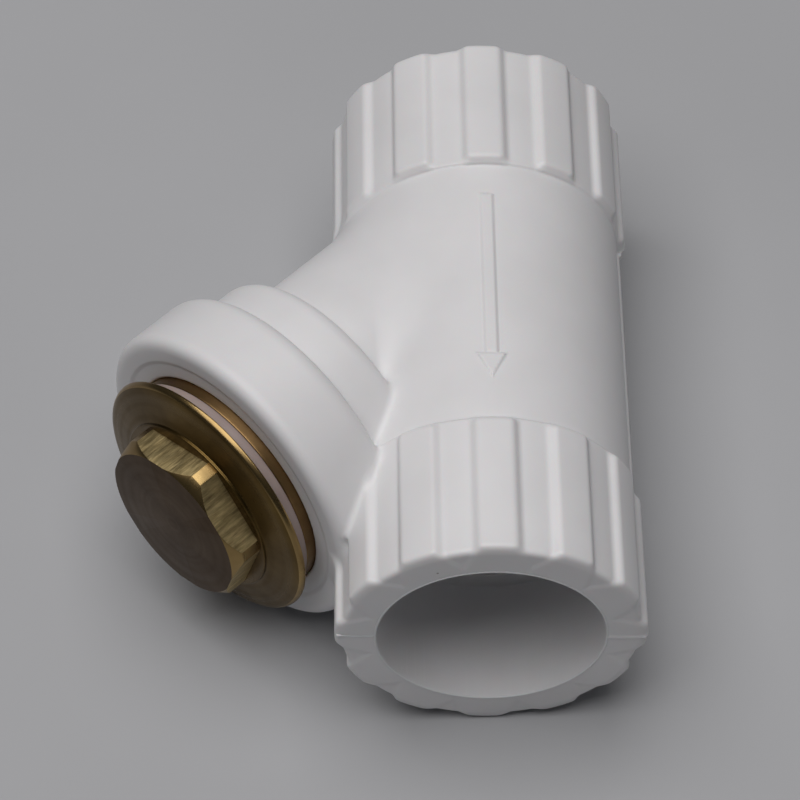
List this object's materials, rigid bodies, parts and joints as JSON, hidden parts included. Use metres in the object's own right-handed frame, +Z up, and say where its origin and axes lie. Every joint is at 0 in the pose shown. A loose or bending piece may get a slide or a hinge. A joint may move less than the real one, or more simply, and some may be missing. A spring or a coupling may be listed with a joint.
{
  "type": "y strainer",
  "caption": "Inline strainer for plastic pipe: a straight run with fusion sockets, and a slanted branch closed by a brass screw plug over a tubular screen.",
  "frame": {"origin": "on the run axis in the plane of the inlet socket's mouth", "axes": "+Y along the run, against the flow; +Z up, the side with the flow arrow; the branch leaves the run 45 degrees from -Y towards -X, in the XY plane"},
  "size_m": [0.0733, 0.088, 0.047],
  "materials": {
    "white_plastic": "moulded satin",
    "insert_brass": "turned, tarnished",
    "plug_brass": "turned, flats milled",
    "gasket_rubber": "matt",
    "stainless_sheet": "punched and rolled",
    "stainless_mesh": "woven wire",
    "stainless_ring": "pressed"
  },
  "bodies": {
    "housing": {"body": "white_plastic", "threaded_insert": "insert_brass"},
    "screen_and_gasket": {"gasket": "gasket_rubber", "screen_tube": "stainless_sheet", "screen_mesh": "stainless_mesh", "seat_ring": "stainless_ring", "plug_ring": "stainless_ring"},
    "plug": {"plug": "plug_brass"}
  },
  "joints": [
    {"name": "plug_travel", "type": "slide", "parent": "housing", "child": "screen_and_gasket", "axis": [-0.7071, -0.7071, 0], "range_m": [0, 0.00998]},
    {"name": "plug_turn", "type": "hinge", "parent": "screen_and_gasket", "child": "plug", "pos_m": [0, -0.0266, 0], "axis": [-0.7071, -0.7071, 0], "range_deg": [0, 1980]}
  ],
  "couplings": [
    {"joint": "plug_travel", "follows": "plug_turn", "m_per_rad": 0.00028875}
  ]
}
